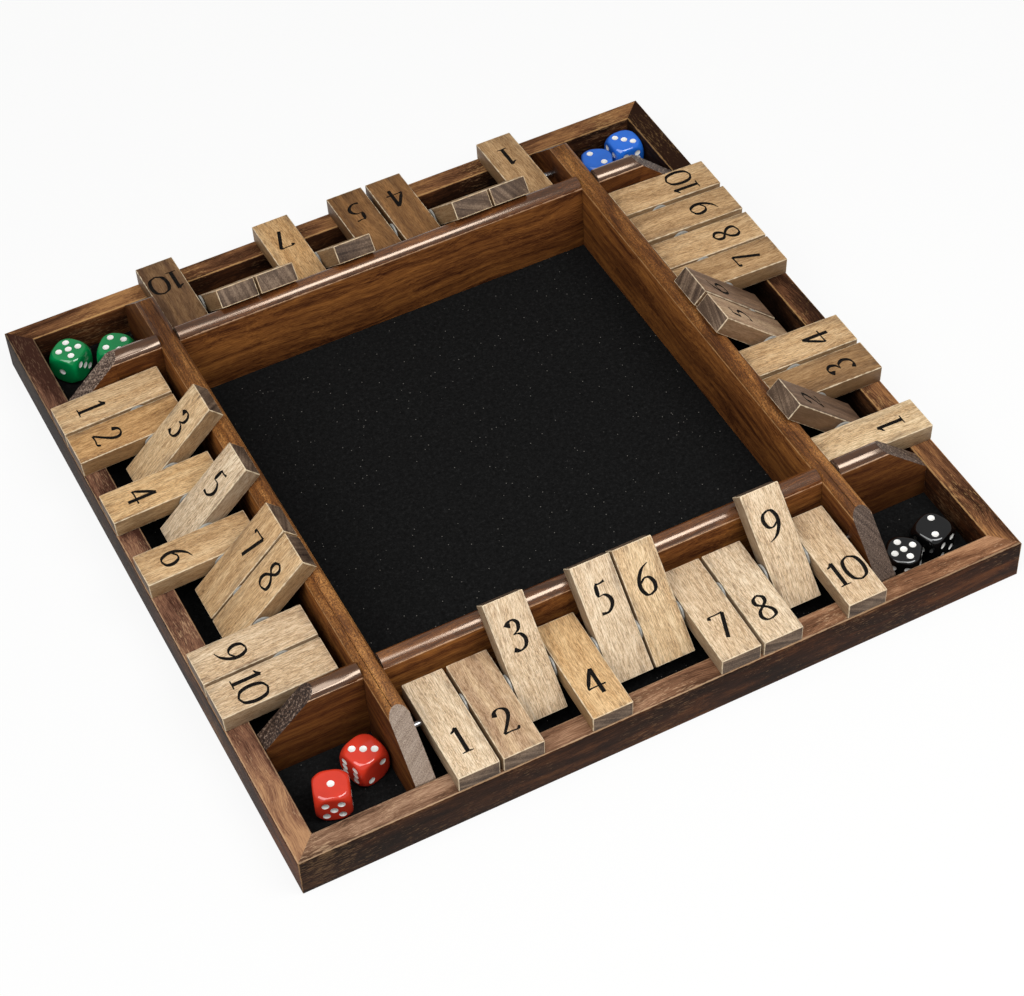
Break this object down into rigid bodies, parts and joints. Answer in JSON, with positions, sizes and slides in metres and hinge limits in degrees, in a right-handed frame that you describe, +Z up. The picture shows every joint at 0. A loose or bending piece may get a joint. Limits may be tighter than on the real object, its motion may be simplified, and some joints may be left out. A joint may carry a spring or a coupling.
{
  "type": "four player shut the box game",
  "caption": "Square wooden dice tray with hinged number tiles along each side, a felt rolling floor and a dice pocket in each corner.",
  "frame": {"origin": "centre of the underside, on the table", "axes": "+Z up; -Y towards the player of the front row; +X to that player's right"},
  "size_m": [0.35, 0.35, 0.0548],
  "materials": {
    "walnut": "semi-gloss walnut stain",
    "tile_wood": "satin light brown wood",
    "panel": "raw fibreboard",
    "felt": "black felt",
    "steel": "bright drawn rod",
    "nylon": "natural translucent nylon",
    "resin_red": "polished, with white pips",
    "resin_black": "polished, with white pips",
    "resin_blue": "polished, with white pips",
    "resin_green": "polished, with white pips"
  },
  "bodies": {
    "case": {"rail_front": "walnut", "rail_right": "walnut", "rail_back": "walnut", "rail_left": "walnut", "base_panel": "panel", "felt_lining": "felt", "divider_front": "walnut", "divider_right": "walnut", "divider_back": "walnut", "divider_left": "walnut", "pivot_rods": "steel", "spacer_washers": "nylon"},
    "tile_front_1": {"tile_front_1": "tile_wood"},
    "tile_front_2": {"tile_front_2": "tile_wood"},
    "tile_front_3": {"tile_front_3": "tile_wood"},
    "tile_front_4": {"tile_front_4": "tile_wood"},
    "tile_front_5": {"tile_front_5": "tile_wood"},
    "tile_front_6": {"tile_front_6": "tile_wood"},
    "tile_front_7": {"tile_front_7": "tile_wood"},
    "tile_front_8": {"tile_front_8": "tile_wood"},
    "tile_front_9": {"tile_front_9": "tile_wood"},
    "tile_front_10": {"tile_front_10": "tile_wood"},
    "tile_right_1": {"tile_right_1": "tile_wood"},
    "tile_right_2": {"tile_right_2": "tile_wood"},
    "tile_right_3": {"tile_right_3": "tile_wood"},
    "tile_right_4": {"tile_right_4": "tile_wood"},
    "tile_right_5": {"tile_right_5": "tile_wood"},
    "tile_right_6": {"tile_right_6": "tile_wood"},
    "tile_right_7": {"tile_right_7": "tile_wood"},
    "tile_right_8": {"tile_right_8": "tile_wood"},
    "tile_right_9": {"tile_right_9": "tile_wood"},
    "tile_right_10": {"tile_right_10": "tile_wood"},
    "tile_back_1": {"tile_back_1": "tile_wood"},
    "tile_back_2": {"tile_back_2": "tile_wood"},
    "tile_back_3": {"tile_back_3": "tile_wood"},
    "tile_back_4": {"tile_back_4": "tile_wood"},
    "tile_back_5": {"tile_back_5": "tile_wood"},
    "tile_back_6": {"tile_back_6": "tile_wood"},
    "tile_back_7": {"tile_back_7": "tile_wood"},
    "tile_back_8": {"tile_back_8": "tile_wood"},
    "tile_back_9": {"tile_back_9": "tile_wood"},
    "tile_back_10": {"tile_back_10": "tile_wood"},
    "tile_left_1": {"tile_left_1": "tile_wood"},
    "tile_left_2": {"tile_left_2": "tile_wood"},
    "tile_left_3": {"tile_left_3": "tile_wood"},
    "tile_left_4": {"tile_left_4": "tile_wood"},
    "tile_left_5": {"tile_left_5": "tile_wood"},
    "tile_left_6": {"tile_left_6": "tile_wood"},
    "tile_left_7": {"tile_left_7": "tile_wood"},
    "tile_left_8": {"tile_left_8": "tile_wood"},
    "tile_left_9": {"tile_left_9": "tile_wood"},
    "tile_left_10": {"tile_left_10": "tile_wood"},
    "die_red_1": {"die_red_1": "resin_red"},
    "die_red_2": {"die_red_2": "resin_red"},
    "die_black_1": {"die_black_1": "resin_black"},
    "die_black_2": {"die_black_2": "resin_black"},
    "die_blue_1": {"die_blue_1": "resin_blue"},
    "die_blue_2": {"die_blue_2": "resin_blue"},
    "die_green_1": {"die_green_1": "resin_green"},
    "die_green_2": {"die_green_2": "resin_green"}
  },
  "joints": [
    {"name": "flip_front_1", "type": "hinge", "parent": "case", "child": "tile_front_1", "pos_m": [0, -0.13926, 0.02746], "axis": [-1, 0, 0], "range_deg": [0, 138.74]},
    {"name": "flip_front_2", "type": "hinge", "parent": "case", "child": "tile_front_2", "pos_m": [0, -0.13926, 0.02746], "axis": [-1, 0, 0], "range_deg": [0, 138.74]},
    {"name": "flip_front_3", "type": "hinge", "parent": "case", "child": "tile_front_3", "pos_m": [0, -0.13926, 0.02746], "axis": [-1, 0, 0], "range_deg": [-138.74, 0]},
    {"name": "flip_front_4", "type": "hinge", "parent": "case", "child": "tile_front_4", "pos_m": [0, -0.13926, 0.02746], "axis": [-1, 0, 0], "range_deg": [0, 138.74]},
    {"name": "flip_front_5", "type": "hinge", "parent": "case", "child": "tile_front_5", "pos_m": [0, -0.13926, 0.02746], "axis": [-1, 0, 0], "range_deg": [-138.74, 0]},
    {"name": "flip_front_6", "type": "hinge", "parent": "case", "child": "tile_front_6", "pos_m": [0, -0.13926, 0.02746], "axis": [-1, 0, 0], "range_deg": [-138.74, 0]},
    {"name": "flip_front_7", "type": "hinge", "parent": "case", "child": "tile_front_7", "pos_m": [0, -0.13926, 0.02746], "axis": [-1, 0, 0], "range_deg": [0, 138.74]},
    {"name": "flip_front_8", "type": "hinge", "parent": "case", "child": "tile_front_8", "pos_m": [0, -0.13926, 0.02746], "axis": [-1, 0, 0], "range_deg": [0, 138.74]},
    {"name": "flip_front_9", "type": "hinge", "parent": "case", "child": "tile_front_9", "pos_m": [0, -0.13926, 0.02746], "axis": [-1, 0, 0], "range_deg": [-138.74, 0]},
    {"name": "flip_front_10", "type": "hinge", "parent": "case", "child": "tile_front_10", "pos_m": [0, -0.13926, 0.02746], "axis": [-1, 0, 0], "range_deg": [0, 138.74]},
    {"name": "flip_right_1", "type": "hinge", "parent": "case", "child": "tile_right_1", "pos_m": [0.13926, 0, 0.02746], "axis": [0, -1, 0], "range_deg": [0, 138.74]},
    {"name": "flip_right_2", "type": "hinge", "parent": "case", "child": "tile_right_2", "pos_m": [0.13926, 0, 0.02746], "axis": [0, -1, 0], "range_deg": [-138.74, 0]},
    {"name": "flip_right_3", "type": "hinge", "parent": "case", "child": "tile_right_3", "pos_m": [0.13926, 0, 0.02746], "axis": [0, -1, 0], "range_deg": [0, 138.74]},
    {"name": "flip_right_4", "type": "hinge", "parent": "case", "child": "tile_right_4", "pos_m": [0.13926, 0, 0.02746], "axis": [0, -1, 0], "range_deg": [0, 138.74]},
    {"name": "flip_right_5", "type": "hinge", "parent": "case", "child": "tile_right_5", "pos_m": [0.13926, 0, 0.02746], "axis": [0, -1, 0], "range_deg": [-138.74, 0]},
    {"name": "flip_right_6", "type": "hinge", "parent": "case", "child": "tile_right_6", "pos_m": [0.13926, 0, 0.02746], "axis": [0, -1, 0], "range_deg": [-138.74, 0]},
    {"name": "flip_right_7", "type": "hinge", "parent": "case", "child": "tile_right_7", "pos_m": [0.13926, 0, 0.02746], "axis": [0, -1, 0], "range_deg": [0, 138.74]},
    {"name": "flip_right_8", "type": "hinge", "parent": "case", "child": "tile_right_8", "pos_m": [0.13926, 0, 0.02746], "axis": [0, -1, 0], "range_deg": [0, 138.74]},
    {"name": "flip_right_9", "type": "hinge", "parent": "case", "child": "tile_right_9", "pos_m": [0.13926, 0, 0.02746], "axis": [0, -1, 0], "range_deg": [0, 138.74]},
    {"name": "flip_right_10", "type": "hinge", "parent": "case", "child": "tile_right_10", "pos_m": [0.13926, 0, 0.02746], "axis": [0, -1, 0], "range_deg": [0, 138.74]},
    {"name": "flip_back_1", "type": "hinge", "parent": "case", "child": "tile_back_1", "pos_m": [0, 0.13926, 0.02746], "axis": [1, 0, 0], "range_deg": [0, 138.74]},
    {"name": "flip_back_2", "type": "hinge", "parent": "case", "child": "tile_back_2", "pos_m": [0, 0.13926, 0.02746], "axis": [1, 0, 0], "range_deg": [-138.74, 0]},
    {"name": "flip_back_3", "type": "hinge", "parent": "case", "child": "tile_back_3", "pos_m": [0, 0.13926, 0.02746], "axis": [1, 0, 0], "range_deg": [-138.74, 0]},
    {"name": "flip_back_4", "type": "hinge", "parent": "case", "child": "tile_back_4", "pos_m": [0, 0.13926, 0.02746], "axis": [1, 0, 0], "range_deg": [0, 138.74]},
    {"name": "flip_back_5", "type": "hinge", "parent": "case", "child": "tile_back_5", "pos_m": [0, 0.13926, 0.02746], "axis": [1, 0, 0], "range_deg": [0, 138.74]},
    {"name": "flip_back_6", "type": "hinge", "parent": "case", "child": "tile_back_6", "pos_m": [0, 0.13926, 0.02746], "axis": [1, 0, 0], "range_deg": [-138.74, 0]},
    {"name": "flip_back_7", "type": "hinge", "parent": "case", "child": "tile_back_7", "pos_m": [0, 0.13926, 0.02746], "axis": [1, 0, 0], "range_deg": [0, 138.74]},
    {"name": "flip_back_8", "type": "hinge", "parent": "case", "child": "tile_back_8", "pos_m": [0, 0.13926, 0.02746], "axis": [1, 0, 0], "range_deg": [-138.74, 0]},
    {"name": "flip_back_9", "type": "hinge", "parent": "case", "child": "tile_back_9", "pos_m": [0, 0.13926, 0.02746], "axis": [1, 0, 0], "range_deg": [-138.74, 0]},
    {"name": "flip_back_10", "type": "hinge", "parent": "case", "child": "tile_back_10", "pos_m": [0, 0.13926, 0.02746], "axis": [1, 0, 0], "range_deg": [0, 138.74]},
    {"name": "flip_left_1", "type": "hinge", "parent": "case", "child": "tile_left_1", "pos_m": [-0.13926, 0, 0.02746], "axis": [0, 1, 0], "range_deg": [0, 138.74]},
    {"name": "flip_left_2", "type": "hinge", "parent": "case", "child": "tile_left_2", "pos_m": [-0.13926, 0, 0.02746], "axis": [0, 1, 0], "range_deg": [0, 138.74]},
    {"name": "flip_left_3", "type": "hinge", "parent": "case", "child": "tile_left_3", "pos_m": [-0.13926, 0, 0.02746], "axis": [0, 1, 0], "range_deg": [-138.74, 0]},
    {"name": "flip_left_4", "type": "hinge", "parent": "case", "child": "tile_left_4", "pos_m": [-0.13926, 0, 0.02746], "axis": [0, 1, 0], "range_deg": [0, 138.74]},
    {"name": "flip_left_5", "type": "hinge", "parent": "case", "child": "tile_left_5", "pos_m": [-0.13926, 0, 0.02746], "axis": [0, 1, 0], "range_deg": [-138.74, 0]},
    {"name": "flip_left_6", "type": "hinge", "parent": "case", "child": "tile_left_6", "pos_m": [-0.13926, 0, 0.02746], "axis": [0, 1, 0], "range_deg": [0, 138.74]},
    {"name": "flip_left_7", "type": "hinge", "parent": "case", "child": "tile_left_7", "pos_m": [-0.13926, 0, 0.02746], "axis": [0, 1, 0], "range_deg": [-138.74, 0]},
    {"name": "flip_left_8", "type": "hinge", "parent": "case", "child": "tile_left_8", "pos_m": [-0.13926, 0, 0.02746], "axis": [0, 1, 0], "range_deg": [-138.74, 0]},
    {"name": "flip_left_9", "type": "hinge", "parent": "case", "child": "tile_left_9", "pos_m": [-0.13926, 0, 0.02746], "axis": [0, 1, 0], "range_deg": [0, 138.74]},
    {"name": "flip_left_10", "type": "hinge", "parent": "case", "child": "tile_left_10", "pos_m": [-0.13926, 0, 0.02746], "axis": [0, 1, 0], "range_deg": [0, 138.74]},
    {"name": "lift_die_red_1", "type": "slide", "parent": "case", "child": "die_red_1", "axis": [0, 0, 1], "range_m": [0, 0.06]},
    {"name": "lift_die_red_2", "type": "slide", "parent": "case", "child": "die_red_2", "axis": [0, 0, 1], "range_m": [0, 0.06]},
    {"name": "lift_die_black_1", "type": "slide", "parent": "case", "child": "die_black_1", "axis": [0, 0, 1], "range_m": [0, 0.06]},
    {"name": "lift_die_black_2", "type": "slide", "parent": "case", "child": "die_black_2", "axis": [0, 0, 1], "range_m": [0, 0.06]},
    {"name": "lift_die_blue_1", "type": "slide", "parent": "case", "child": "die_blue_1", "axis": [0, 0, 1], "range_m": [0, 0.06]},
    {"name": "lift_die_blue_2", "type": "slide", "parent": "case", "child": "die_blue_2", "axis": [0, 0, 1], "range_m": [0, 0.06]},
    {"name": "lift_die_green_1", "type": "slide", "parent": "case", "child": "die_green_1", "axis": [0, 0, 1], "range_m": [0, 0.06]},
    {"name": "lift_die_green_2", "type": "slide", "parent": "case", "child": "die_green_2", "axis": [0, 0, 1], "range_m": [0, 0.06]}
  ]
}
